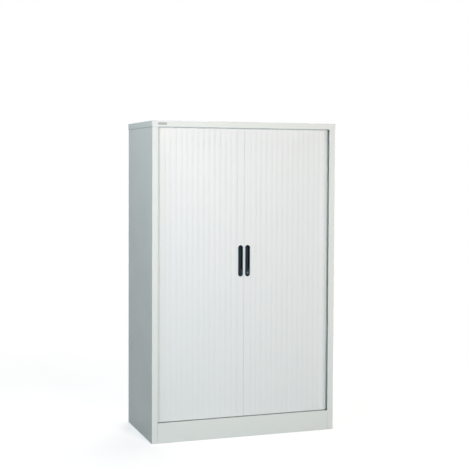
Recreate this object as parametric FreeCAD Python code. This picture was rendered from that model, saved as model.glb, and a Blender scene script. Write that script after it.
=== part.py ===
import FreeCAD, Part
import math
import os

# Storage cupboard with two side-opening tambour curtains.
# Folded sheet steel carcass, slatted curtains that run in a track at their head and foot,
# bend round the front corners and store between each side panel and its inner liner.
# Millimetres, +Z up, front towards -Y, origin under the middle of the cupboard on the floor.

# Overall size
width = 1016.0
depth = 508.0
height = 1651.0

# Sheet metal
sheet = 1.0
bend_radius = 1.0
panel_fit = 0.2
seat_gap = 0.1
overrun = 5.0

# Lid, a downturned tray that caps the carcass
lid_band = 31.0
lid_return = 8.0
plate_length = 48.0
plate_height = 13.0
plate_recess = 0.5
plate_from_edge = 31.0

# Side panels, each with a front stile, a return lip and flanges
stile_width = 31.0
return_lip = 8.0
flange = 20.0
back_lift = 3.0

# Plinth and decks
plinth_height = 104.0
plinth_seam = 0.4
floor_drop = 10.0
floor_lip = 30.0
ceiling_drop = 17.0

# Curtain path: flat behind the front, round the corner, back along the side
curtain_setback = 28.5
run_inset = 9.0
corner_radius = 40.0

# Curtain slats
slat_thickness = 8.0
slat_pitch = 30.0
slat_count = 16
slat_crown = 0.6
slat_wall = 1.2
front_joint_gap = 1.6
rear_joint_gap = 4.0
bead_radius = 1.2
bead_neck = 1.0
socket_inner = 1.5
socket_outer = 2.6
socket_clearance = 0.35
knuckle_swing = 46.0
neck_swing_room = 3.0
lead_width = 38.5
meeting_gap = 0.5
lead_edge_radius = 0.6

# Curtain tracks
track_clearance = 0.6
track_wall = 2.0
track_base = 2.0
track_depth = 10.0
track_corner_ease = 48.0
track_end_gap = 2.5
slat_foot_gap = 0.5
slat_head_gap = 2.0

# Inner liners
liner_inset = 33.0
liner_front_gap = 7.0
liner_flange = 20.0
slot_length = 14.0
slot_height = 2.4
slots_per_level = 8
first_slot = 2

# Shelves and their clips
shelf_count = 3
shelf_side_gap = 1.5
shelf_front_setback = 8.5
shelf_back_gap = 2.5
shelf_lip = 25.0
shelf_return = 12.0
clip_thickness = 1.6
clip_width = 12.0
clip_ledge = 13.0
clip_leg = 15.0
clip_tail = 5.0
clip_inset = 40.0

# Finger-pull handles
handle_height = 165.0
handle_width = 26.0
handle_middle = 925.0
handle_centre = 19.6
handle_proud = 4.0
handle_rim_radius = 2.5
handle_neck_width = 19.4
handle_neck_depth = 14.0
handle_slot_gap = 0.3
handle_wall = 1.8
handle_floor = 2.0
handle_lug_height = 12.0
handle_lug_proud = 1.2
handle_lug_gap = 0.1
boss_height = 38.0
boss_proud = 1.5
boss_edge_radius = 1.2
boss_bar = 4.0

# Lock in the right handle, keeper on the left lead slat
barrel_radius = 7.0
barrel_fit = 0.05
barrel_proud = 0.8
spindle_radius = 4.0
keyway_length = 8.0
keyway_width = 1.4
keyway_depth = 6.0
cam_thickness = 2.0
cam_width = 12.0
cam_reach = 33.0
cam_gap = 0.3
cam_slot_start = 23.0
cam_slot_end = 29.5
lock_nut_radius = 5.5
lock_nut_height = 2.5
keeper_thickness = 1.6
keeper_edge_gap = 1.2
keeper_width = 7.0
keeper_height = 38.0
tongue_thickness = 4.0
tongue_height = 9.5
tongue_lift = 1.5
tongue_overlap = 2.2

# Levelling feet and their nut brackets
foot_inset_x = 40.0
foot_inset_y = 38.0
foot_lift = 1.0
foot_pad_radius = 15.0
foot_pad_height = 8.0
foot_pad_edge = 1.5
foot_stud_radius = 4.9
foot_stud_height = 52.0
foot_thread_fit = 0.1
bracket_height = 30.0
bracket_thickness = 3.0
bracket_width = 50.0
bracket_reach = 20.0
bracket_leg = 26.0
foot_nut_flats = 17.0
foot_nut_height = 8.0

# Rivets through the back panel
rivet_radius = 2.0
rivet_fit = 0.05
rivet_head_radius = 4.0
rivet_head_height = 1.2
rivet_head_edge = 0.8
rivet_tail = 2.5
rivets_per_side = 9
rivet_end_gap = 40.0

# Places that follow from the sizes above
front = -depth / 2
back = depth / 2
side = width / 2
panel_inset = sheet + bend_radius + seat_gap
panel_front = front + panel_inset
panel_back = back - panel_inset
panel_side = side - panel_inset
wall_inside = panel_side - sheet
flange_back = panel_back - sheet
stile_edge = panel_side - stile_width
lip_end = panel_front + return_lip
lid_underside = height - sheet
band_bottom = height - lid_band

floor_top = plinth_height - floor_drop
ceiling_under = lid_underside - ceiling_drop
deck_front = lip_end + panel_fit
deck_back = flange_back - sheet - panel_fit
deck_side = wall_inside - panel_fit

curtain_y = panel_front + curtain_setback + slat_thickness / 2
curtain_face = curtain_y - slat_thickness / 2
curtain_rear = curtain_y + slat_thickness / 2
run_x = panel_side - run_inset
corner_x = run_x - corner_radius
corner_y = curtain_y + corner_radius
curtain_travel = corner_x - lead_width

slat_bottom = floor_top + track_base + slat_foot_gap
slat_top = ceiling_under - track_base - slat_head_gap

liner_face = panel_side - liner_inset
liner_front = corner_y - liner_front_gap
shelf_side = liner_face - shelf_side_gap
shelf_front = liner_front + shelf_front_setback
shelf_back = deck_back - shelf_back_gap
level_height = (ceiling_under - floor_top) / (shelf_count + 1)
shelf_tops = [floor_top + level_height * (n + 1) for n in range(shelf_count)]
clip_rows = [shelf_front + clip_inset, shelf_back - clip_inset]

handle_bottom = handle_middle - handle_height / 2
handle_top = handle_middle + handle_height / 2
handle_face = curtain_face - handle_proud
handle_back = curtain_face + handle_neck_depth
boss_top = handle_bottom + boss_height
lock_z = handle_bottom + boss_height / 2
cam_front = handle_back + cam_gap
cam_back = cam_front + cam_thickness

foot_x = panel_side - foot_inset_x
foot_y = panel_back - foot_inset_y


def vec(x, y, z=0):
    return FreeCAD.Vector(x, y, z)


def block(x_from, x_to, y_from, y_to, z_from, z_to):
    corner = vec(min(x_from, x_to), min(y_from, y_to), min(z_from, z_to))
    return Part.makeBox(abs(x_to - x_from), abs(y_to - y_from), abs(z_to - z_from), corner)


def drum(radius, start, end):
    return Part.makeCylinder(radius, (end - start).Length, start, end - start)


def mirrored(shape):
    return shape.mirror(vec(0, 0), vec(1, 0))


def fused(shapes):
    return shapes[0].multiFuse(shapes[1:]).removeSplitter()


def rounded(shape, radius, wanted):
    edges = [edge for edge in shape.Edges if wanted(edge)]
    return shape.makeFillet(radius, edges)


def outline(edges):
    return Part.Face(Part.Wire(Part.__sortEdges__([edge.toShape() for edge in edges])))


def upright(face, z_from, z_to):
    face.translate(vec(0, 0, z_from))
    return face.extrude(vec(0, 0, z_to - z_from))


def folded_strip(points, turn_side):
    """Section of one folded sheet. Points give one skin; the other lies to their left or right."""
    near = []
    far = []
    near_point = points[0]
    far_point = None
    for index in range(len(points) - 1):
        along = (points[index + 1] - points[index]).normalize()
        inward = vec(-along.y, along.x) * turn_side
        if far_point is None:
            far_point = near_point + inward * sheet
            start_cap = (far_point, near_point)
        if index + 2 == len(points):
            near_end = points[index + 1]
            far_end = near_end + inward * sheet
            near.append(Part.LineSegment(near_point, near_end))
            far.append(Part.LineSegment(far_point, far_end))
            break
        corner = points[index + 1]
        onward = (points[index + 2] - corner).normalize()
        next_inward = vec(-onward.y, onward.x) * turn_side
        turns_in = onward.dot(inward) > 0
        radius = bend_radius + sheet if turns_in else bend_radius
        far_radius = bend_radius if turns_in else bend_radius + sheet
        reach = radius * math.tan(along.getAngle(onward) / 2)
        near_end = corner - along * reach
        near_next = corner + onward * reach
        centre = near_end + inward * (radius if turns_in else -radius)
        middle = (corner - centre).normalize()
        far_end = near_end + inward * sheet
        far_next = near_next + next_inward * sheet
        near.append(Part.LineSegment(near_point, near_end))
        near.append(Part.Arc(near_end, centre + middle * radius, near_next))
        far.append(Part.LineSegment(far_point, far_end))
        far.append(Part.Arc(far_end, centre + middle * far_radius, far_next))
        near_point = near_next
        far_point = far_next
    caps = [Part.LineSegment(*start_cap), Part.LineSegment(near_end, far_end)]
    return outline(near + far + caps)


def sheet_tray(x_side, y_from, y_to, z_face, z_lip):
    """A flat sheet with a folded lip on all four edges; the lips run from z_face to z_lip."""
    way = 1 if z_lip > z_face else -1
    shell = block(-x_side, x_side, y_from, y_to, z_face, z_lip)
    room = block(-x_side + sheet, x_side - sheet, y_from + sheet, y_to - sheet,
                 z_face + way * sheet, z_lip + way * overrun)

    def is_bend(edge):
        level = edge.CenterOfMass.z
        upright_edge = edge.BoundBox.ZLength > sheet
        return upright_edge or abs(level - z_face) < sheet * 2

    shell = rounded(shell, bend_radius + sheet, is_bend)
    room = rounded(room, bend_radius, is_bend)
    return shell.cut(room)


def stadium(x_centre, half_width, z_from, z_to, y_from, y_to):
    """Upright block with half-round ends, run from y_from back to y_to."""
    low = z_from + half_width
    high = z_to - half_width
    middle = block(x_centre - half_width, x_centre + half_width, y_from, y_to, low, high)
    ends = [drum(half_width, vec(x_centre, y_from, z), vec(x_centre, y_to, z)) for z in (low, high)]
    return fused([middle] + ends)


# Curtain path

def path_point(length):
    """Point on the right-hand curtain's centre line, by its length from the middle of the front."""
    quarter = corner_radius * math.pi / 2
    if length <= corner_x:
        return vec(length, curtain_y)
    if length <= corner_x + quarter:
        angle = (length - corner_x) / corner_radius
        return vec(corner_x + corner_radius * math.sin(angle),
                   corner_y - corner_radius * math.cos(angle))
    return vec(run_x, corner_y + length - corner_x - quarter)


def next_on_path(length):
    """Length at which the path is one slat pitch, straight across, from the given one."""
    start = path_point(length)
    low = length
    high = length + slat_pitch * 2
    for _ in range(60):
        middle = (low + high) / 2
        if (path_point(middle) - start).Length < slat_pitch:
            low = middle
        else:
            high = middle
    return middle


def knuckle_points(opened):
    """Knuckle centres of the right-hand curtain when its lead slat has moved by opened."""
    lengths = [lead_width + opened]
    for _ in range(slat_count):
        lengths.append(next_on_path(lengths[-1]))
    return [path_point(length) for length in lengths]


def slat_turns(points):
    """Direction of each slat about Z, in radians."""
    steps = [points[n + 1] - points[n] for n in range(slat_count)]
    return [math.atan2(step.y, step.x) for step in steps]


# Carcass

def lid():
    tray = sheet_tray(side, front, back, height, band_bottom)
    hem_side = stile_edge - plinth_seam
    hem = block(-hem_side, hem_side, front + sheet / 2, front + sheet + lid_return,
                band_bottom, band_bottom + sheet)
    plate_left = -side + plate_from_edge
    recess = plate_outline(plate_left, front - overrun, front + plate_recess)
    return tray.fuse(hem).removeSplitter().cut(recess)


def plate_outline(x_left, y_from, y_to):
    """Lying oblong with half-round ends, for the recess of the blank plate."""
    radius = plate_height / 2
    level = band_bottom + lid_band / 2
    ends = [x_left + radius, x_left + plate_length - radius]
    bar = block(ends[0], ends[1], y_from, y_to, level - radius, level + radius)
    drums = [drum(radius, vec(x, y_from, level), vec(x, y_to, level)) for x in ends]
    return fused([bar] + drums)


def rivet_places():
    low = floor_top + rivet_end_gap
    step = (ceiling_under - rivet_end_gap - low) / (rivets_per_side - 1)
    x = panel_side - flange / 2 - sheet / 2
    return [vec(x, 0, low + step * n) for n in range(rivets_per_side)]


def rivet_holes():
    return [drum(rivet_radius + rivet_fit, vec(p.x, flange_back - overrun, p.z),
                 vec(p.x, panel_back + overrun, p.z)) for p in rivet_places()]


def side_panel():
    skin = [vec(stile_edge, lip_end), vec(stile_edge, panel_front), vec(panel_side, panel_front),
            vec(panel_side, flange_back), vec(panel_side - flange, flange_back)]
    walls = upright(folded_strip(skin, 1), 0, lid_underside)
    flanges = [block(panel_side - flange, wall_inside + sheet / 2, lip_end, deck_back, z, z + sheet)
               for z in (0, lid_underside - sheet)]
    return fused([walls] + flanges).cut(Part.makeCompound(rivet_holes()))


def back_panel():
    plate = block(-panel_side, panel_side, flange_back, panel_back, back_lift, lid_underside)
    holes = rivet_holes()
    return plate.cut(Part.makeCompound(holes + [mirrored(hole) for hole in holes]))


def back_rivets():
    rivets = []
    for place in rivet_places():
        head = drum(rivet_head_radius, vec(place.x, panel_back, place.z),
                    vec(place.x, panel_back + rivet_head_height, place.z))
        rim_y = panel_back + rivet_head_height
        head = rounded(head, rivet_head_edge, lambda edge: edge.BoundBox.YMin > rim_y - rivet_head_edge)
        shank = drum(rivet_radius, vec(place.x, flange_back - sheet - rivet_tail, place.z),
                     vec(place.x, panel_back + rivet_head_height / 2, place.z))
        rivet = head.fuse(shank)
        rivets += [rivet, mirrored(rivet)]
    return Part.makeCompound(rivets)


def plinth():
    section = [vec(panel_front + flange, 0), vec(panel_front, 0), vec(panel_front, plinth_height),
               vec(lip_end, plinth_height), vec(lip_end, floor_top)]
    strip = folded_strip(section, -1)
    half = stile_edge - plinth_seam
    bar = strip.extrude(vec(0, 0, half * 2))
    bar.rotate(vec(0, 0), vec(1, 1, 1), 120)
    bar.translate(vec(-half, 0))
    return bar


def base_panel():
    return sheet_tray(deck_side, deck_front, deck_back, floor_top, floor_top - floor_lip)


def top_panel():
    lip_top = lid_underside - sheet - panel_fit
    return sheet_tray(deck_side, deck_front, deck_back, ceiling_under, lip_top)


# Curtain tracks

def ribbon(offset, ease_radius, rear):
    """Plan of the curtain's U-shaped way, out to offset on each side of its centre line."""
    out_x = run_x + offset
    out_y = curtain_y - offset
    in_x = run_x - offset
    in_y = curtain_y + offset
    out_radius = corner_radius + offset
    slant = math.sqrt(0.5)

    def half(sign):
        out_mid = vec(sign * (corner_x + out_radius * slant), corner_y - out_radius * slant)
        in_mid = vec(sign * (in_x - ease_radius * (1 - slant)), in_y + ease_radius * (1 - slant))
        return [
            Part.LineSegment(vec(0, out_y), vec(sign * corner_x, out_y)),
            Part.Arc(vec(sign * corner_x, out_y), out_mid, vec(sign * out_x, corner_y)),
            Part.LineSegment(vec(sign * out_x, corner_y), vec(sign * out_x, rear)),
            Part.LineSegment(vec(sign * out_x, rear), vec(sign * in_x, rear)),
            Part.LineSegment(vec(sign * in_x, rear), vec(sign * in_x, in_y + ease_radius)),
            Part.Arc(vec(sign * in_x, in_y + ease_radius), in_mid,
                     vec(sign * (in_x - ease_radius), in_y)),
            Part.LineSegment(vec(sign * (in_x - ease_radius), in_y), vec(0, in_y)),
        ]

    return outline(half(1) + half(-1))


def curtain_track(z_seat, way):
    """Track channel with its base on z_seat, opening upwards (way 1) or downwards (way -1)."""
    half_groove = slat_thickness / 2 + track_clearance
    rear = deck_back - track_end_gap
    open_edge = z_seat + way * track_depth
    body = ribbon(half_groove + track_wall, track_corner_ease - track_wall, rear)
    groove = ribbon(half_groove, track_corner_ease, rear - track_wall)
    body = upright(body, z_seat, open_edge)
    groove = upright(groove, z_seat + way * track_base, open_edge + way * overrun)
    return body.cut(groove)


# Inner liners, shelves and clips

def slot_levels():
    pitch = level_height / slots_per_level
    last = slots_per_level * (shelf_count + 1)
    drop = shelf_lip + clip_thickness / 2
    return [floor_top + pitch * n - drop for n in range(first_slot, last)]


def inner_liner():
    skin = [vec(liner_face - liner_flange, liner_front), vec(liner_face, liner_front),
            vec(liner_face, deck_back), vec(liner_face - liner_flange, deck_back)]
    wall = upright(folded_strip(skin, -1), floor_top, ceiling_under - panel_fit)
    slots = [block(liner_face - sheet, liner_face + sheet * 2, y - slot_length / 2, y + slot_length / 2,
                   z - slot_height / 2, z + slot_height / 2)
             for z in slot_levels() for y in clip_rows]
    return wall.cut(Part.makeCompound(slots))


def shelf(z_top):
    tray = sheet_tray(shelf_side, shelf_front, shelf_back, z_top, z_top - shelf_lip)
    returns = [block(-shelf_side + sheet, shelf_side - sheet, y, y + way * shelf_return,
                     z_top - shelf_lip, z_top - shelf_lip + sheet)
               for y, way in ((shelf_front + sheet / 2, 1), (shelf_back - sheet / 2, -1))]
    return fused([tray] + returns)


def shelf_clips():
    clips = []
    for z_top in shelf_tops:
        seat = z_top - shelf_lip
        for y in clip_rows:
            low = y - clip_width / 2
            high = y + clip_width / 2
            bar = block(shelf_side - clip_ledge, liner_face + sheet + clip_tail, low, high,
                        seat - clip_thickness, seat)
            leg = block(liner_face - clip_thickness, liner_face, low, high, seat - clip_leg, seat)
            clip = fused([bar, leg])
            clips += [clip, mirrored(clip)]
    return Part.makeCompound(clips)


# Curtains

def socket_at(x):
    """Open round socket of a knuckle, centred on x, and the hollow to cut from it."""
    wall = drum(socket_outer, vec(x, 0, slat_bottom), vec(x, 0, slat_top))
    bore = drum(socket_inner, vec(x, 0, slat_bottom - overrun), vec(x, 0, slat_top + overrun))
    neck_angle = math.degrees(math.asin(bead_neck / 2 / socket_inner)) + neck_swing_room
    mouth = Part.makeCylinder(socket_outer * 2, slat_top - slat_bottom + overrun * 2,
                              vec(x, 0, slat_bottom - overrun), vec(0, 0, 1),
                              knuckle_swing + neck_angle * 2)
    mouth.rotate(vec(x, 0), vec(0, 0, 1), -neck_angle)
    return wall, bore.fuse(mouth)


def slat():
    """One slat of the right-hand curtain, from its bead at the origin along +X to its socket."""
    half = slat_thickness / 2
    front_start = front_joint_gap / 2
    rear_start = rear_joint_gap / 2
    front_left = vec(front_start, slat_crown - half)
    front_right = vec(slat_pitch - front_start, slat_crown - half)
    rear_right = vec(slat_pitch - rear_start, half)
    rear_left = vec(rear_start, half)
    section = outline([
        Part.Arc(front_left, vec(slat_pitch / 2, -half), front_right),
        Part.LineSegment(front_right, rear_right),
        Part.LineSegment(rear_right, rear_left),
        Part.LineSegment(rear_left, front_left),
    ])
    blade = upright(section, slat_bottom, slat_top)
    socket_wall, socket_room = socket_at(slat_pitch)
    relief = drum(socket_outer + socket_clearance, vec(0, 0, slat_bottom - overrun),
                  vec(0, 0, slat_top + overrun))
    bead = drum(bead_radius, vec(0, 0, slat_bottom), vec(0, 0, slat_top))
    neck_end = socket_outer + socket_clearance + slat_wall
    neck = block(0, neck_end, -bead_neck / 2, bead_neck / 2, slat_bottom, slat_top)
    hollow = block(neck_end, slat_pitch - socket_outer - slat_wall, slat_wall - half, half - slat_wall,
                   slat_bottom - overrun, slat_top + overrun)
    blade = blade.cut(relief).fuse(socket_wall).cut(socket_room).cut(hollow)
    return fused([blade, bead, neck])


def placed_slat(model, point, turn):
    copy = model.copy()
    copy.rotate(vec(0, 0), vec(0, 0, 1), math.degrees(turn))
    copy.translate(point)
    return copy


def lead_slat():
    """Right-hand lead slat, with the slot that takes its handle."""
    edge = meeting_gap / 2
    last = lead_width - front_joint_gap / 2
    rear_last = lead_width - rear_joint_gap / 2
    half = slat_thickness / 2
    section = Part.Face(Part.makePolygon([vec(edge, -half), vec(last, -half), vec(rear_last, half),
                                          vec(edge, half), vec(edge, -half)]))
    blade = upright(section, slat_bottom, slat_top)
    blade = rounded(blade, lead_edge_radius,
                    lambda e: e.BoundBox.XMax < edge + lead_edge_radius and e.BoundBox.ZLength > sheet)
    socket_wall, socket_room = socket_at(lead_width)
    blade = blade.fuse(socket_wall).cut(socket_room)
    blade.translate(vec(0, curtain_y))
    slot = stadium(handle_centre, handle_neck_width / 2 + handle_slot_gap,
                   handle_neck_bottom() - handle_slot_gap, handle_neck_top() + handle_slot_gap,
                   curtain_face - overrun, curtain_rear + overrun)
    return blade.cut(slot).removeSplitter()


# Handles and lock

def handle_neck_bottom():
    return handle_bottom + (handle_width - handle_neck_width) / 2


def handle_neck_top():
    return handle_top - (handle_width - handle_neck_width) / 2


def handle():
    """Right-hand finger pull: rim, neck through the slat, finger recess and blank lock boss."""
    x = handle_centre
    rim = stadium(x, handle_width / 2, handle_bottom, handle_top, handle_face, curtain_face)
    rim = rounded(rim, handle_rim_radius, lambda e: e.BoundBox.YMax < handle_face + handle_proud / 4)
    neck = stadium(x, handle_neck_width / 2, handle_neck_bottom(), handle_neck_top(),
                   curtain_face - handle_proud / 2, handle_back)
    boss_half = handle_width / 2 - handle_rim_radius
    boss = stadium(x, boss_half, handle_bottom + handle_rim_radius, boss_top,
                   handle_face - boss_proud, curtain_face)
    boss = rounded(boss, boss_edge_radius, lambda e: e.BoundBox.YMax < handle_face - boss_proud / 2)
    body = fused([rim, neck, boss])
    room_half = handle_neck_width / 2 - handle_wall
    room = finger_room(x, room_half)
    lug_front = curtain_rear + handle_lug_gap
    lug_half = handle_neck_width / 2 + handle_slot_gap + handle_lug_proud
    lug_levels = [handle_middle, handle_top - handle_width - handle_lug_height]
    lugs = [block(x - lug_half, x + lug_half, lug_front, lug_front + handle_wall,
                  z - handle_lug_height / 2, z + handle_lug_height / 2) for z in lug_levels]
    return fused([body] + lugs).cut(room)


def finger_room(x, half):
    """The finger recess: round at its head, square where it meets the bar over the boss."""
    low = boss_top + boss_bar
    high = handle_neck_top() - handle_wall - half
    y_to = handle_back - handle_floor
    tall = block(x - half, x + half, handle_face - overrun, y_to, low, high)
    head = drum(half, vec(x, handle_face - overrun, high), vec(x, y_to, high))
    return fused([tall, head])


def barrel_bore():
    return drum(barrel_radius + barrel_fit, vec(handle_centre, handle_face - overrun * 2, lock_z),
                vec(handle_centre, handle_back + overrun, lock_z))


def lock_barrel():
    """Key barrel with its spindle, and the nut that holds the cam on."""
    x = handle_centre
    face = handle_face - boss_proud - barrel_proud
    nut_end = cam_back + cam_gap + lock_nut_height
    body = drum(barrel_radius, vec(x, face, lock_z), vec(x, handle_back, lock_z))
    spindle = drum(spindle_radius, vec(x, handle_back - sheet, lock_z), vec(x, nut_end, lock_z))
    keyway = block(x - keyway_width / 2, x + keyway_width / 2, face - overrun, face + keyway_depth,
                   lock_z - keyway_length / 2, lock_z + keyway_length / 2)
    nut = drum(lock_nut_radius, vec(x, cam_back + cam_gap, lock_z), vec(x, nut_end, lock_z))
    hole = drum(spindle_radius + barrel_fit, vec(x, cam_back, lock_z), vec(x, nut_end + overrun, lock_z))
    return Part.makeCompound([fused([body, spindle]).cut(keyway), nut.cut(hole)])


def lock_cam():
    """Flat cam, hanging down when unlocked, notched on the side that leads as it turns."""
    x = handle_centre
    half = cam_width / 2
    plate = stadium(x, half, lock_z - cam_reach, lock_z + half, cam_front, cam_back)
    notch = block(x - half - overrun, x, cam_front - overrun, cam_back + overrun,
                  lock_z - cam_slot_end, lock_z - cam_slot_start)
    hole = drum(spindle_radius + barrel_fit, vec(x, cam_front - overrun, lock_z),
                vec(x, cam_back + overrun, lock_z))
    return plate.cut(notch).cut(hole)


def lock_keeper():
    """Plate on the rear of the left lead slat, with the tongue that the cam's notch takes."""
    plate = block(-keeper_edge_gap - keeper_width, -keeper_edge_gap, curtain_rear,
                  curtain_rear + keeper_thickness, lock_z + tongue_lift,
                  lock_z + tongue_lift + keeper_height)
    middle = handle_centre - (cam_slot_start + cam_slot_end) / 2
    tongue = block(middle - tongue_thickness / 2, middle + tongue_thickness / 2, curtain_rear,
                   cam_back + tongue_overlap, lock_z + tongue_lift,
                   lock_z + tongue_lift + tongue_height)
    return fused([plate, tongue])


# Levelling feet

def levelling_foot(x, y):
    pad_top = foot_lift + foot_pad_height
    pad = drum(foot_pad_radius, vec(x, y, foot_lift), vec(x, y, pad_top))
    pad = pad.makeFillet(foot_pad_edge, [edge for edge in pad.Edges if len(edge.Vertexes) == 1])
    stud = drum(foot_stud_radius, vec(x, y, pad_top - sheet), vec(x, y, pad_top + foot_stud_height))
    return fused([pad, stud])


def foot_brackets():
    brackets = []
    for x_way in (1, -1):
        for y_way in (1, -1):
            x = foot_x * x_way
            y = foot_y * y_way
            wall = wall_inside * x_way
            seat = block(x - bracket_reach * x_way, wall, y - bracket_width / 2,
                         y + bracket_width / 2, bracket_height, bracket_height + bracket_thickness)
            leg = block(wall - bracket_thickness * x_way, wall, y - bracket_width / 2,
                        y + bracket_width / 2, bracket_height, bracket_height + bracket_leg)
            nut_base = bracket_height + bracket_thickness
            nut_corner = foot_nut_flats / math.sqrt(3)
            corners = [vec(x + nut_corner * math.cos(math.pi / 3 * n),
                           y + nut_corner * math.sin(math.pi / 3 * n), nut_base)
                       for n in range(7)]
            nut = Part.Face(Part.makePolygon(corners)).extrude(vec(0, 0, foot_nut_height))
            hole = drum(foot_stud_radius + foot_thread_fit, vec(x, y, 0),
                        vec(x, y, nut_base + foot_nut_height + overrun))
            brackets.append(fused([seat, leg, nut]).cut(hole))
    return Part.makeCompound(brackets)


def cupboard():
    """Every piece of the cupboard by its name."""
    pieces = {
        "lid": lid(),
        "right_side_panel": side_panel(),
        "back_panel": back_panel(),
        "back_rivets": back_rivets(),
        "plinth": plinth(),
        "base_panel": base_panel(),
        "top_panel": top_panel(),
        "bottom_track": curtain_track(floor_top, 1),
        "top_track": curtain_track(ceiling_under, -1),
        "right_liner": inner_liner(),
        "shelf_clips": shelf_clips(),
        "right_lead_slat": lead_slat(),
        "left_handle": mirrored(handle()),
        "right_handle": handle().cut(barrel_bore()),
        "lock_barrel": lock_barrel(),
        "lock_cam": lock_cam(),
        "lock_keeper": lock_keeper(),
        "foot_brackets": foot_brackets(),
    }
    for name in ("side_panel", "liner", "lead_slat"):
        pieces["left_" + name] = mirrored(pieces["right_" + name])
    for number, z_top in enumerate(shelf_tops, 1):
        pieces["shelf_%d" % number] = shelf(z_top)
    model = slat()
    closed = knuckle_points(0)
    turns = slat_turns(closed)
    for number in range(slat_count):
        right = placed_slat(model, closed[number], turns[number])
        pieces["right_slat_%02d" % (number + 1)] = right
        pieces["left_slat_%02d" % (number + 1)] = mirrored(right)
    for x_name, x_way in (("left", -1), ("right", 1)):
        for y_name, y_way in (("front", -1), ("rear", 1)):
            pieces["foot_%s_%s" % (y_name, x_name)] = levelling_foot(foot_x * x_way, foot_y * y_way)
    return pieces


os.makedirs("parts", exist_ok=True)
for node, shape in cupboard().items():
    shape.exportStep("parts/" + node + ".step")

open_end = knuckle_points(curtain_travel)[-1]
print("Curtain travel %.1f mm" % curtain_travel)
print("Room left behind the open curtain %.1f mm" % (flange_back - open_end.y))
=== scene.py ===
import math

import bmesh
import bpy
from mathutils import Matrix, Vector


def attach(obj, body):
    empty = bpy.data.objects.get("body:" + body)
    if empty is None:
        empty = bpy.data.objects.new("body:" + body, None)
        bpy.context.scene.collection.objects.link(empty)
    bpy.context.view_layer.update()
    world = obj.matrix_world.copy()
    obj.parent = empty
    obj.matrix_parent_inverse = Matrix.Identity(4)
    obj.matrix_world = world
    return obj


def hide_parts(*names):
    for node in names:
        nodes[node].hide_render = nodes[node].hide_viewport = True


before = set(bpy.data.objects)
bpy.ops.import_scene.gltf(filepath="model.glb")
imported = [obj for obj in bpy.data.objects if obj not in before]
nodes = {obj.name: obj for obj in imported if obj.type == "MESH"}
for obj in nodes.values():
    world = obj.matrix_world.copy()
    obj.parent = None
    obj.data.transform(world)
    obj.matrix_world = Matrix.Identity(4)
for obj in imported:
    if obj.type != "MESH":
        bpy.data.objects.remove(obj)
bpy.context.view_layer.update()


# Carcass: lid, side panels, back, plinth, decks, liners and shelves.
# Folded 1 mm sheet steel, spot welded, powder coated off-white and baked; the back is riveted on.
# The coat gives a satin surface with a fine orange peel and almost no change of tone.

def linear(code):
    """Linear colour from an sRGB hex value."""
    channels = [int(code[place:place + 2], 16) / 255 for place in (0, 2, 4)]
    return [c / 12.92 if c < 0.0405 else ((c + 0.055) / 1.055) ** 2.4 for c in channels] + [1.0]


def add(material, kind, inputs=None, **settings):
    """Adds one node to a material, sets its inputs or links them, and returns it."""
    node = material.node_tree.nodes.new("ShaderNode" + kind)
    for name, value in settings.items():
        setattr(node, name, value)
    for name, value in (inputs or {}).items():
        if isinstance(value, bpy.types.NodeSocket):
            material.node_tree.links.new(value, node.inputs[name])
        else:
            node.inputs[name].default_value = value
    return node


def new_material(name, roughness, metallic=0.0, ior=1.5):
    """A material, its shader and the object coordinates that its patterns read."""
    material = bpy.data.materials.new(name)
    material.use_nodes = True
    shader = material.node_tree.nodes["Principled BSDF"]
    shader.inputs["Roughness"].default_value = roughness
    shader.inputs["Metallic"].default_value = metallic
    shader.inputs["IOR"].default_value = ior
    place = add(material, "TexCoord").outputs["Object"]
    return material, shader, place


def connect(material, output, shader, name):
    """Links a node's output to one of the shader's inputs."""
    material.node_tree.links.new(output, shader.inputs[name])


def powder_coat(name, light, dark, peel_height):
    """Satin powder coat: slow tone drift, orange peel, and a gloss that varies a little."""
    material, shader, place = new_material(name, roughness=0.5)
    # Thickness of the coat drifts over about half a metre
    drift = add(material, "TexNoise", {"Vector": place, "Scale": 2.1, "Detail": 3.0})
    tone = add(material, "Mix", {0: drift.outputs["Fac"], 6: linear(light), 7: linear(dark)},
               data_type="RGBA")
    connect(material, tone.outputs[2], shader, "Base Color")
    # Real orange peel has waves of 2 to 3 mm; drawn at about 6 mm, so that it shows at all
    peel = add(material, "TexNoise", {"Vector": place, "Scale": 160.0, "Detail": 2.0})
    bump = add(material, "Bump", {"Height": peel.outputs["Fac"], "Strength": 0.22,
                                  "Distance": peel_height})
    connect(material, bump.outputs["Normal"], shader, "Normal")
    # Handling and cleaning change the gloss over about a hand's width
    gloss = add(material, "TexNoise", {"Vector": place, "Scale": 9.0, "Detail": 4.0})
    rough = add(material, "MapRange", {"Value": gloss.outputs["Fac"], "From Min": 0.3,
                                       "From Max": 0.7, "To Min": 0.46, "To Max": 0.56})
    connect(material, rough.outputs["Result"], shader, "Roughness")
    return material


def wear(material, *names):
    """Gives CAD nodes a material."""
    for name in names:
        for slot in nodes[name].material_slots:
            slot.material = material


outer_coat = powder_coat("powder_coated_steel_off_white", "E4E6E2", "DFE3DF", 0.0002)
wear(outer_coat, "lid", "left_side_panel", "right_side_panel", "back_panel", "plinth",
     "base_panel", "top_panel")
inner_coat = powder_coat("powder_coated_steel_inside", "E3E4E0", "DEE0DC", 0.0003)
wear(inner_coat, "left_liner", "right_liner", "shelf_1", "shelf_2", "shelf_3")


# Shelf clips and foot brackets, pressed from steel strip.
# Bright zinc plating, which shows a cool grey with cloudy patches and a soft, broken gloss.
# The clips hook into the liners' slots; the brackets are spot welded inside the side panels.

zinc, shader, place = new_material("bright_zinc_plated_steel", roughness=0.32, metallic=1.0)
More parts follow.
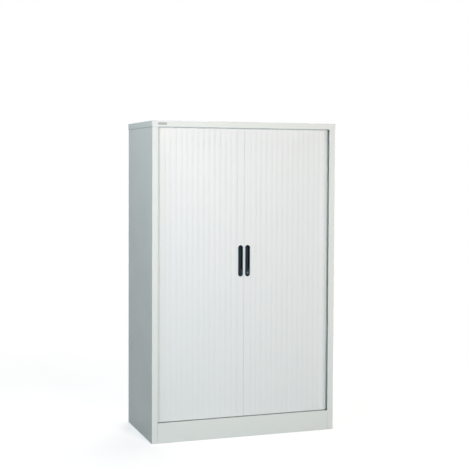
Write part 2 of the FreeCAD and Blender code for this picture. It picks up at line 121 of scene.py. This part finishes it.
# The plating clouds over about 11 mm
cloud = add(zinc, "TexNoise", {"Vector": place, "Scale": 90.0, "Detail": 4.0, "Distortion": 0.6})
tone = add(zinc, "ValToRGB", {"Fac": cloud.outputs["Fac"]})
tone.color_ramp.elements[0].position = 0.32
tone.color_ramp.elements[0].color = linear("A9AEB2")
tone.color_ramp.elements[1].position = 0.68
tone.color_ramp.elements[1].color = linear("C9CCCB")
connect(zinc, tone.outputs["Color"], shader, "Base Color")
rough = add(zinc, "MapRange", {"Value": cloud.outputs["Fac"], "From Min": 0.3, "From Max": 0.7,
                               "To Min": 0.24, "To Max": 0.42})
connect(zinc, rough.outputs["Result"], shader, "Roughness")
wear(zinc, "shelf_clips", "foot_brackets")


# Blank plate, let into the left end of the lid's front, with nothing on it.
# Aluminium, pressed to a raised rim and stove enamelled in satin grey.
# Bonded in its shallow recess, its rim just below the lid's face.

enamel, shader, place = new_material("stove_enamelled_satin_grey", roughness=0.4)
# Brush marks under the enamel are 0.1 mm apart; drawn about 0.5 mm apart and 15 mm long
lines = add(enamel, "Mapping", {"Vector": place, "Scale": (70.0, 70.0, 2000.0)})
brushed = add(enamel, "TexNoise", {"Vector": lines.outputs["Vector"], "Scale": 1.0, "Detail": 3.0})
tone = add(enamel, "Mix", {0: brushed.outputs["Fac"], 6: linear("8E9493"), 7: linear("A4A9A7")},
           data_type="RGBA")
connect(enamel, tone.outputs[2], shader, "Base Color")
rough = add(enamel, "MapRange", {"Value": brushed.outputs["Fac"], "From Min": 0.3,
                                 "From Max": 0.7, "To Min": 0.34, "To Max": 0.46})
connect(enamel, rough.outputs["Result"], shader, "Roughness")
bump = add(enamel, "Bump", {"Height": brushed.outputs["Fac"], "Strength": 0.15,
                            "Distance": 0.0001})
connect(enamel, bump.outputs["Normal"], shader, "Normal")


def choose(*pieces):
    """Selects these pieces and no others; the last one is the active one."""
    bpy.ops.object.select_all(action="DESELECT")
    for piece in pieces:
        piece.select_set(True)
    bpy.context.view_layer.objects.active = pieces[-1]


def add_shape(kind, name, material, **sizes):
    """Adds a primitive on its own, named and finished, and opens it for shaping."""
    bpy.ops.object.select_all(action="DESELECT")
    getattr(bpy.ops.mesh, "primitive_" + kind + "_add")(**sizes)
    piece = bpy.context.object
    piece.name = name
    piece.data.materials.append(material)
    bpy.ops.object.mode_set(mode="EDIT")
    return piece


def pick(piece, part, test):
    """Selects the verts, edges or faces whose middle, and a face's normal, pass a test."""
    mesh = bmesh.from_edit_mesh(piece.data)
    bpy.ops.mesh.select_mode(type={"verts": "VERT", "edges": "EDGE", "faces": "FACE"}[part])
    bpy.ops.mesh.select_all(action="DESELECT")
    turned = piece.matrix_world.to_3x3()
    for item in getattr(mesh, part):
        points = [item] if part == "verts" else item.verts
        middle = sum((point.co for point in points), Vector()) / len(points)
        normal = turned @ item.normal if part == "faces" else None
        item.select_set(test(piece.matrix_world @ middle, normal))
    mesh.select_flush_mode()
    bmesh.update_edit_mesh(piece.data)


def push(x, y, z):
    """Extrudes what is selected by a distance."""
    bpy.ops.mesh.extrude_region_move(TRANSFORM_OT_translate={"value": (x, y, z)})


def close_shape(piece, smooth_below):
    """Leaves edit mode, fixes the piece's place in its mesh and smooths its soft edges."""
    bpy.ops.object.mode_set(mode="OBJECT")
    choose(piece)
    bpy.ops.object.transform_apply(location=True, rotation=True, scale=True)
    bpy.ops.object.shade_smooth_by_angle(angle=math.radians(smooth_below))


near = 0.0001
plate_middle = Vector((-0.453, -0.25375, 1.6355))
plate_end_radius, plate_half_straight, plate_thickness = 0.0062, 0.0175, 0.0004
rim_width, rim_height = 0.0009, 0.00022
# Round ends of 48 sides, turned by half a side so that a flat side lies on the middle line
half_side = math.radians(360 / 48 / 2)
plate = add_shape("cylinder", "blank_plate", enamel, vertices=48, radius=plate_end_radius,
                  depth=plate_thickness, location=plate_middle,
                  rotation=(math.pi / 2, half_side, 0))
for way in (-1, 1):
    pick(plate, "verts", lambda at, _: (at.x - plate_middle.x) * way > 0)
    bpy.ops.transform.translate(value=(way * plate_half_straight, 0, 0))
pick(plate, "edges", lambda at, _: at.y < plate_middle.y - near)
bpy.ops.mesh.bevel(offset=0.00012, segments=2, affect="EDGES")
pick(plate, "faces", lambda at, normal: normal.y < -0.99 and abs(at.z - plate_middle.z) < 0.001)
bpy.ops.mesh.inset(thickness=rim_width)
push(0, rim_height, 0)
bpy.ops.mesh.inset(thickness=0.0003)
close_shape(plate, smooth_below=40)
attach(plate, "carcass")


# Blind rivets that hold the back panel to the side panels' flanges, nine a side.
# Drawn aluminium, with a domed head and the broken end of the steel mandrel in its middle.

rivet_metal, shader, place = new_material("drawn_aluminium_rivet", roughness=0.36, metallic=1.0)
# Drawing marks and oxide mottle the metal over about 2 mm
swirl = add(rivet_metal, "TexNoise", {"Vector": place, "Scale": 600.0, "Detail": 2.0})
tone = add(rivet_metal, "Mix", {0: swirl.outputs["Fac"], 6: linear("969A9D"), 7: linear("B0B4B6")},
           data_type="RGBA")
connect(rivet_metal, tone.outputs[2], shader, "Base Color")
bump = add(rivet_metal, "Bump", {"Height": swirl.outputs["Fac"], "Strength": 0.2,
                                 "Distance": 0.0001})
connect(rivet_metal, bump.outputs["Normal"], shader, "Normal")

head_top, head_radius, head_height, head_dome = 0.2531, 0.004, 0.0012, 0.0009
hole_depth, mandrel_height, shank_length = 0.0006, 0.0004, 0.0043
rivet = add_shape("cylinder", "back_rivet", rivet_metal, vertices=32, radius=head_radius,
                  depth=head_height, location=(0, head_top - head_height / 2, 0),
                  rotation=(-math.pi / 2, 0, 0))
pick(rivet, "edges", lambda at, _: at.y > head_top - near)
bpy.ops.mesh.bevel(offset=head_dome, segments=4, affect="EDGES")
pick(rivet, "faces", lambda at, normal: normal.y > 0.99)
bpy.ops.mesh.inset(thickness=0.0016)
push(0, -hole_depth, 0)
bpy.ops.mesh.inset(thickness=0.0003)
push(0, mandrel_height, 0)
pick(rivet, "faces", lambda at, normal: normal.y < -0.99 and at.y < head_top - 0.001)
bpy.ops.mesh.inset(thickness=0.002)
push(0, -shank_length, 0)
close_shape(rivet, smooth_below=50)
rivet_x, lowest_rivet, rivet_spacing = 0.4954, 0.134, 0.182375
rivet_copies = []
for side_x in (-rivet_x, rivet_x):
    for level in range(9):
        choose(rivet)
        bpy.ops.object.duplicate(linked=False)
        rivet_copies.append(bpy.context.object)
        rivet_copies[-1].location = (side_x, 0, lowest_rivet + level * rivet_spacing)
bpy.data.objects.remove(rivet)
choose(*rivet_copies)
bpy.ops.object.join()
rivets = bpy.context.object
rivets.name = "back_blind_rivets"
close_shape(rivets, smooth_below=50)
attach(rivets, "carcass")
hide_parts("back_rivets")


# Levelling feet, screwed up into nuts on the brackets, one in each corner.
# A black nylon pad with a fluted edge is moulded round a zinc plated M10 stud with a hexagon.

nylon_pad, shader, place = new_material("moulded_black_nylon", roughness=0.52, ior=1.53)
# Flow marks of the moulding are about 7 mm across
cloud = add(nylon_pad, "TexNoise", {"Vector": place, "Scale": 140.0, "Detail": 3.0})
tone = add(nylon_pad, "Mix", {0: cloud.outputs["Fac"], 6: linear("1B1C1D"), 7: linear("26282A")},
           data_type="RGBA")
connect(nylon_pad, tone.outputs[2], shader, "Base Color")
bump = add(nylon_pad, "Bump", {"Height": cloud.outputs["Fac"], "Strength": 0.2,
                               "Distance": 0.0003})
connect(nylon_pad, bump.outputs["Normal"], shader, "Normal")

pad_radius, pad_height, pad_middle, pad_round = 0.015, 0.008, 0.005, 0.0014
flute_angle, flute_scale = 7.5, 0.955
pad = add_shape("cylinder", "foot_pad", nylon_pad, vertices=48, radius=pad_radius,
                depth=pad_height, location=(0, 0, pad_middle))
pick(pad, "edges", lambda at, _: abs(at.z - pad_middle) > pad_height / 2 - near)
bpy.ops.mesh.bevel(offset=pad_round, segments=3, affect="EDGES")
pick(pad, "faces", lambda at, normal: abs(normal.z) < 0.1
     and round(math.degrees(math.atan2(at.y, at.x)) / flute_angle - 0.5) % 2 == 0)
bpy.ops.mesh.inset(thickness=0.0003, use_individual=True)
bpy.ops.transform.resize(value=(flute_scale, flute_scale, 1.0),
                         center_override=(0, 0, pad_middle))
close_shape(pad, smooth_below=35)
hexagon_radius, hexagon_height, hexagon_middle = 0.0081, 0.004, 0.011
hexagon = add_shape("cylinder", "foot_hexagon", zinc, vertices=6, radius=hexagon_radius,
                    depth=hexagon_height, location=(0, 0, hexagon_middle))
pick(hexagon, "edges", lambda at, _: abs(at.z - hexagon_middle) > hexagon_height / 2 - near)
bpy.ops.mesh.bevel(offset=0.0005, segments=2, affect="EDGES")
close_shape(hexagon, smooth_below=35)
core_radius, core_foot, core_top = 0.0041, 0.008, 0.061
core = add_shape("cylinder", "foot_core", zinc, vertices=32, radius=core_radius,
                 depth=core_top - core_foot, location=(0, 0, (core_foot + core_top) / 2))
pick(core, "edges", lambda at, _: at.z > core_top - near)
bpy.ops.mesh.bevel(offset=0.0007, segments=1, affect="EDGES")
close_shape(core, smooth_below=35)

# Rolled thread, pitch 1.5 mm: one zigzag, swept round the stud and up it by the Screw modifier
pitch, turns, crest_radius, thread_start, flank_squash = 0.0015, 31, 0.0049, 0.0133, 0.7
tooth_radius = pitch / math.sqrt(3)
thread = add_shape("circle", "foot_thread", zinc, vertices=3, radius=tooth_radius,
                   fill_type="NOTHING", location=(0, 0, 0))
for axis in "XY":
    bpy.ops.transform.rotate(value=math.pi / 2, orient_axis=axis, center_override=(0, 0, 0))
pick(thread, "edges", lambda at, _: abs(at.z) < 1e-6)
bpy.ops.mesh.delete(type="EDGE_FACE")
bpy.ops.mesh.select_all(action="SELECT")
bpy.ops.transform.resize(value=(flank_squash, 1, 1), center_override=(0, 0, 0))
bpy.ops.transform.translate(value=(crest_radius - flank_squash * tooth_radius, 0, thread_start))
bpy.ops.object.mode_set(mode="OBJECT")
sweep = thread.modifiers.new("sweep", "SCREW")
sweep.angle = 2 * math.pi
sweep.screw_offset = pitch
sweep.iterations = turns
sweep.steps = 20
sweep.render_steps = 20
sweep.use_merge_vertices = True
sweep.merge_threshold = 1e-6
bpy.ops.object.modifier_apply(modifier="sweep")
bpy.ops.object.mode_set(mode="EDIT")
bpy.ops.mesh.select_all(action="SELECT")
bpy.ops.mesh.normals_make_consistent(inside=False)
close_shape(thread, smooth_below=35)
choose(hexagon, core, thread, pad)
bpy.ops.object.join()
foot_x, foot_y = 0.4659, 0.2139
for corner, x, y in (("front_left", -foot_x, -foot_y), ("front_right", foot_x, -foot_y),
                     ("rear_left", -foot_x, foot_y), ("rear_right", foot_x, foot_y)):
    choose(pad)
    bpy.ops.object.duplicate(linked=False)
    foot = bpy.context.object
    foot.name = "levelling_foot_" + corner
    foot.location = (x, y, 0)
    bpy.ops.object.transform_apply(location=True, rotation=True, scale=True)
    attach(foot, "foot_" + corner + "_body")
    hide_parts("foot_" + corner)
bpy.data.objects.remove(pad)


# Curtain tracks, one at the floor and one at the ceiling.
# Extruded mid-grey nylon, bent round both front corners and clipped to the decks.
# It is matt, with faint lines along the run.

nylon, shader, place = new_material("extruded_grey_nylon", roughness=0.55, ior=1.53)
# Die lines are under 1 mm apart; drawn about 1.5 mm apart, and they run on for 250 mm
lines = add(nylon, "Mapping", {"Vector": place, "Scale": (4.0, 4.0, 700.0)})
die_line = add(nylon, "TexNoise", {"Vector": lines.outputs["Vector"], "Scale": 1.0, "Detail": 3.0})
tone = add(nylon, "Mix", {0: die_line.outputs["Fac"], 6: linear("7C8083"), 7: linear("888C8E")},
           data_type="RGBA")
connect(nylon, tone.outputs[2], shader, "Base Color")
bump = add(nylon, "Bump", {"Height": die_line.outputs["Fac"], "Strength": 0.3, "Distance": 0.0002})
connect(nylon, bump.outputs["Normal"], shader, "Normal")
wear(nylon, "bottom_track", "top_track")


# Curtains: sixteen slats and a lead slat each side, knuckled edge to edge.
# Extruded cool white PVC, slightly crowned, satin, with die lines up each slat.
# The slats' ends run in the tracks; the joints and the line where the two curtains meet carry
# painted shade.

pvc, shader, place = new_material("extruded_pvc_cool_white", roughness=0.42, ior=1.53)
# The plastic's tone drifts over about a third of a metre
drift = add(pvc, "TexNoise", {"Vector": place, "Scale": 3.0, "Detail": 2.0})
# Die lines are 0.3 to 1 mm apart; drawn about 4 mm apart and very faint
lines = add(pvc, "Mapping", {"Vector": place, "Scale": (260.0, 260.0, 0.8)})
die_line = add(pvc, "TexNoise", {"Vector": lines.outputs["Vector"], "Scale": 1.0, "Detail": 3.0,
                                 "Roughness": 0.6})
mixed = add(pvc, "Mix", {0: 0.35, 2: drift.outputs["Fac"], 3: die_line.outputs["Fac"]})
tone = add(pvc, "Mix", {0: mixed.outputs[0], 6: linear("E9EAE9"), 7: linear("E2E6E6")},
           data_type="RGBA")
# Painted shade in the joints, which lie 30 mm apart out from the lead slats, greys the 1.5 mm on
# each side of every one in the flat of the curtain, and the line where the two curtains meet
first_joint, slat_pitch, flat_from, flat_to = 0.03875, 0.03, 0.0301, 0.4595
across = add(pvc, "SeparateXYZ", {"Vector": place}).outputs["X"]
across = add(pvc, "Math", {0: across}, operation="ABSOLUTE").outputs[0]
count = add(pvc, "Math", {0: across, 1: first_joint}, operation="SUBTRACT").outputs[0]
count = add(pvc, "Math", {0: count, 1: slat_pitch}, operation="DIVIDE").outputs[0]
off_joint = add(pvc, "Math", {0: count, 1: 0.5}, operation="PINGPONG").outputs[0]
painted_joint_shade = add(pvc, "MapRange", {"Value": off_joint, "From Min": 0.01, "From Max": 0.06,
                             "To Min": 0.25, "To Max": 0.0})
in_flat = add(pvc, "Math", {0: across, 1: (flat_from + flat_to) / 2,
                            2: (flat_to - flat_from) / 2}, operation="COMPARE").outputs[0]
painted_joint_shade = add(pvc, "Math", {0: painted_joint_shade.outputs["Result"], 1: in_flat}, operation="MULTIPLY")
# Painted shade on the line where the two curtains meet
meeting_line_shade = add(pvc, "MapRange", {"Value": across, "From Min": 0.001, "From Max": 0.004,
                                "To Min": 0.35, "To Max": 0.0})
painted_joint_shade = add(pvc, "Math", {0: painted_joint_shade.outputs[0], 1: meeting_line_shade.outputs["Result"]}, operation="MAXIMUM")
tone = add(pvc, "Mix", {0: painted_joint_shade.outputs[0], 6: tone.outputs[2], 7: linear("D2D6D6")},
           data_type="RGBA")
connect(pvc, tone.outputs[2], shader, "Base Color")
bump = add(pvc, "Bump", {"Height": die_line.outputs["Fac"], "Strength": 0.15, "Distance": 0.0001})
connect(pvc, bump.outputs["Normal"], shader, "Normal")
rough = add(pvc, "MapRange", {"Value": die_line.outputs["Fac"], "From Min": 0.3, "From Max": 0.7,
                              "To Min": 0.38, "To Max": 0.48})
connect(pvc, rough.outputs["Result"], shader, "Roughness")
wear(pvc, *[name for name in nodes if "_slat" in name])


# Finger-pull handles, one in each lead slat, clipped through a slot by their lugs.
# Injection-moulded ABS in dark blue-grey, with a fine spark-eroded grain and softened edges.

abs_grain, shader, place = new_material("moulded_abs_dark_blue_grey", roughness=0.56, ior=1.54)
shader.inputs["Specular IOR Level"].default_value = 0.15
# The grain is about 0.2 mm; drawn at about 1 mm
grain = add(abs_grain, "TexVoronoi", {"Vector": place, "Scale": 900.0})
# The pigment varies over about 25 mm
drift = add(abs_grain, "TexNoise", {"Vector": place, "Scale": 40.0, "Detail": 2.0})
tone = add(abs_grain, "Mix", {0: drift.outputs["Fac"], 6: linear("091E2B"), 7: linear("112532")},
           data_type="RGBA")
connect(abs_grain, tone.outputs[2], shader, "Base Color")
bump = add(abs_grain, "Bump", {"Height": grain.outputs["Distance"], "Strength": 0.25,
                               "Distance": 0.0002})
connect(abs_grain, bump.outputs["Normal"], shader, "Normal")
rough = add(abs_grain, "MapRange", {"Value": grain.outputs["Distance"], "From Min": 0.0,
                                    "From Max": 0.7, "To Min": 0.5, "To Max": 0.62})
connect(abs_grain, rough.outputs["Result"], shader, "Roughness")

for side in ("left", "right"):
    grip = bpy.data.objects.new(side + "_finger_pull", nodes[side + "_handle"].data.copy())
    bpy.context.scene.collection.objects.link(grip)
    choose(grip)
    bpy.ops.object.mode_set(mode="EDIT")
    bpy.ops.mesh.select_all(action="SELECT")
    bpy.ops.mesh.remove_doubles(threshold=1e-6)
    bpy.ops.mesh.dissolve_limited(angle_limit=math.radians(0.5))
    bpy.ops.object.mode_set(mode="OBJECT")
    soften = grip.modifiers.new("soften", "BEVEL")
    soften.width = 0.0005
    soften.segments = 3
    soften.limit_method = "ANGLE"
    soften.angle_limit = math.radians(50)
    bpy.ops.object.modifier_apply(modifier="soften")
    for slot in grip.material_slots:
        slot.material = abs_grain
    close_shape(grip, smooth_below=35)
    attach(grip, side + "_lead")
    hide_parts(side + "_handle")


# Cylinder lock in the right handle, its cam, and the keeper on the left lead slat.
# Zinc die casting, black nickel plated, turned and broached for its key; the cam is held by a
# nut on the spindle. The cam and keeper are pressed steel, zinc plated.

black_nickel, shader, place = new_material("black_nickel_plated_zinc", roughness=0.3, metallic=1.0)
# The plating hazes over about 2.5 mm
haze = add(black_nickel, "TexNoise", {"Vector": place, "Scale": 400.0, "Detail": 3.0})
tone = add(black_nickel, "Mix", {0: haze.outputs["Fac"], 6: linear("3F464C"), 7: linear("4E555B")},
           data_type="RGBA")
connect(black_nickel, tone.outputs[2], shader, "Base Color")
rough = add(black_nickel, "MapRange", {"Value": haze.outputs["Fac"], "From Min": 0.3,
                                       "From Max": 0.7, "To Min": 0.26, "To Max": 0.38})
connect(black_nickel, rough.outputs["Result"], shader, "Roughness")

lock_x, lock_z, lock_radius = 0.0196, 0.8615, 0.007
lock_front, lock_seat, lock_end = -0.2297, -0.2094, -0.2043
barrel = add_shape("cylinder", "lock_cylinder", black_nickel, vertices=64, radius=lock_radius,
                   depth=lock_seat - lock_front, rotation=(math.pi / 2, 0, 0),
                   location=(lock_x, (lock_front + lock_seat) / 2, lock_z))
pick(barrel, "edges", lambda at, _: at.y < lock_front + near)
bpy.ops.mesh.bevel(offset=0.0004, segments=3, affect="EDGES")
pick(barrel, "faces", lambda at, normal: normal.y < -0.99)
bpy.ops.mesh.inset(thickness=0.0011)
push(0, 0.0007, 0)
bpy.ops.mesh.inset(thickness=0.0003)
push(0, -0.0005, 0)
bpy.ops.mesh.inset(thickness=0.00025)
bpy.ops.transform.translate(value=(0, -0.00012, 0))
pick(barrel, "faces", lambda at, normal: normal.y > 0.99 and at.y > lock_seat - near)
bpy.ops.mesh.inset(thickness=0.003)
push(0, lock_end - lock_seat, 0)
bpy.ops.object.mode_set(mode="OBJECT")
# Keyway with its ward, which is the groove beside its upper end
keyway_length = 0.012
for width, height, dx, dz in ((0.0014, 0.008, 0, 0), (0.0013, 0.0018, 0.0009, 0.0021)):
    cutter = add_shape("cube", "keyway_cutter", black_nickel, size=1.0,
                       scale=(width, keyway_length, height),
                       location=(lock_x + dx, lock_front, lock_z + dz))
    bpy.ops.object.mode_set(mode="OBJECT")
    choose(barrel)
    broach = barrel.modifiers.new("broach", "BOOLEAN")
    broach.object = cutter
    broach.solver = "EXACT"
    bpy.ops.object.modifier_apply(modifier="broach")
    bpy.data.objects.remove(cutter)
close_shape(barrel, smooth_below=35)
nut_radius, nut_height, nut_middle = 0.0055, 0.0023, -0.20565
nut = add_shape("cylinder", "lock_nut", zinc, vertices=6, radius=nut_radius, depth=nut_height,
                rotation=(math.pi / 2, 0, 0), location=(lock_x, nut_middle, lock_z))
bpy.ops.mesh.bevel(offset=0.0003, segments=2, affect="EDGES")
close_shape(nut, smooth_below=35)
choose(nut, barrel)
bpy.ops.object.join()
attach(barrel, "lock")
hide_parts("lock_barrel")
wear(zinc, "lock_cam", "lock_keeper")


# Studio: a pale floor under a white surround, with soft lamps in front, at the sides, behind and
# above. The floor keeps the cupboard's shadow near it and turns pure white further out.
# The camera has the photograph's place and lens.

def sees_surround(owner):
    """1 for the rays that show the white surround: camera, glossy and transmission rays."""
    ray = add(owner, "LightPath").outputs
    seen = add(owner, "Math", {0: ray["Is Camera Ray"], 1: ray["Is Glossy Ray"]},
               operation="MAXIMUM")
    return add(owner, "Math", {0: seen.outputs[0], 1: ray["Is Transmission Ray"]},
               operation="MAXIMUM").outputs[0]


floor_size, shadow_radius, white_radius = 60.0, 0.9, 3.2
bpy.ops.object.select_all(action="DESELECT")
bpy.ops.mesh.primitive_plane_add(size=floor_size, location=(0, 0, 0))
floor = bpy.context.object
floor.name = "floor"
paper, shader, place = new_material("white_studio_paper", roughness=0.9)
paper.node_tree.nodes.remove(shader)
fibre = add(paper, "TexNoise", {"Vector": place, "Scale": 400.0, "Detail": 2.0})
near_tone = add(paper, "Mix", {0: fibre.outputs["Fac"], 6: (0.56, 0.56, 0.56, 1),
                               7: (0.54, 0.54, 0.54, 1)}, data_type="RGBA")
lit = add(paper, "BsdfDiffuse", {"Color": near_tone.outputs[2]})
glow = add(paper, "Emission", {"Strength": 0.6})
shown = add(paper, "AddShader", {0: lit.outputs[0], 1: glow.outputs[0]})
white = add(paper, "Emission", {"Strength": 1.0})
distance = add(paper, "VectorMath", {0: place}, operation="LENGTH")
fade = add(paper, "MapRange", {"Value": distance.outputs["Value"], "From Min": shadow_radius,
                               "From Max": white_radius}, interpolation_type="SMOOTHSTEP")
shown = add(paper, "MixShader", {0: fade.outputs["Result"], 1: shown.outputs[0],
                                 2: white.outputs[0]})
# What the cupboard gets back from the floor is duller than the floor looks
bounce = add(paper, "BsdfDiffuse", {"Color": (0.28, 0.32, 0.32, 1)})
surface = add(paper, "MixShader", {0: sees_surround(paper), 1: bounce.outputs[0],
                                   2: shown.outputs[0]})
paper.node_tree.links.new(surface.outputs[0], paper.node_tree.nodes["Material Output"].inputs[0])
floor.data.materials.append(paper)

# The surround is white to look at and in reflections, and itself lights the cupboard only faintly
world = bpy.data.worlds.new("studio")
bpy.context.scene.world = world
world.use_nodes = True
sky = world.node_tree.nodes["Background"]
sky.inputs["Color"].default_value = (0.97, 1.01, 1.02, 1)
sky.inputs["Strength"].default_value = 0.03
white_sky = add(world, "Background", {"Color": (1, 1, 1, 1), "Strength": 1.0})
surround = add(world, "MixShader", {0: sees_surround(world), 1: sky.outputs[0],
                                    2: white_sky.outputs[0]})
world.node_tree.links.new(surround.outputs[0],
                          world.node_tree.nodes["World Output"].inputs["Surface"])


def lamp(name, place, aim, size, power, tint=(1, 1, 1)):
    """A square soft lamp at a place, turned to what it lights."""
    light = bpy.data.lights.new(name, "AREA")
    light.size = size
    light.energy = power
    light.color = tint
    holder = bpy.data.objects.new(name, light)
    bpy.context.scene.collection.objects.link(holder)
    holder.location = place
    holder.rotation_euler = (Vector(aim) - Vector(place)).to_track_quat("-Z", "Y").to_euler()


lamp("front_lamp", (0.35, -4.3, 2.1), (0, -0.2, 0.9), size=0.9, power=67.0,
     tint=(1.23, 0.94, 0.84))
lamp("low_front_lamp", (-0.6, -5.2, 1.3), (0, -0.2, 0.9), size=2.0, power=88.5,
     tint=(0.82, 1.07, 1.11))
lamp("left_lamp", (-3.6, -3.4, 2.3), (0, -0.2, 0.9), size=1.6, power=34.0,
     tint=(0.82, 0.97, 1.22))
lamp("side_lamp", (-2.0, -0.5, 3.2), (-0.5, 0, 1.0), size=1.0, power=28.0,
     tint=(0.94, 1.03, 1.05))
lamp("rear_lamp", (2.0, 4.9, 1.6), (0, 0.2, 0.9), size=2.2, power=165.0)
lamp("right_lamp", (4.4, 0.9, 1.8), (0.5, 0, 0.9), size=1.8, power=62.0)
lamp("top_lamp", (0.2, 0.9, 4.4), (0, 0.1, 1.6), size=1.4, power=28.0)

photo_width, axis_above_middle = 468, 26.6
turn_right, look_down, lean = 19.335, 2.141, 0.258
camera_data = bpy.data.cameras.new("photo_camera")
camera_data.lens = 81.03
camera_data.sensor_width = 36.0
# The photograph's optical axis is above its middle, by this many of its pixels
camera_data.shift_y = -axis_above_middle / photo_width
camera = bpy.data.objects.new("photo_camera", camera_data)
bpy.context.scene.collection.objects.link(camera)
camera.rotation_mode = "QUATERNION"
camera.location = (-1.8799, -5.4188, 1.412)
turn = (Matrix.Rotation(math.radians(-turn_right), 3, "Z")
        @ Matrix.Rotation(math.radians(90 - look_down), 3, "X")
        @ Matrix.Rotation(math.radians(lean), 3, "Z"))
camera.rotation_quaternion = turn.to_quaternion()
bpy.context.scene.camera = camera
bpy.context.scene.view_settings.view_transform = "Standard"
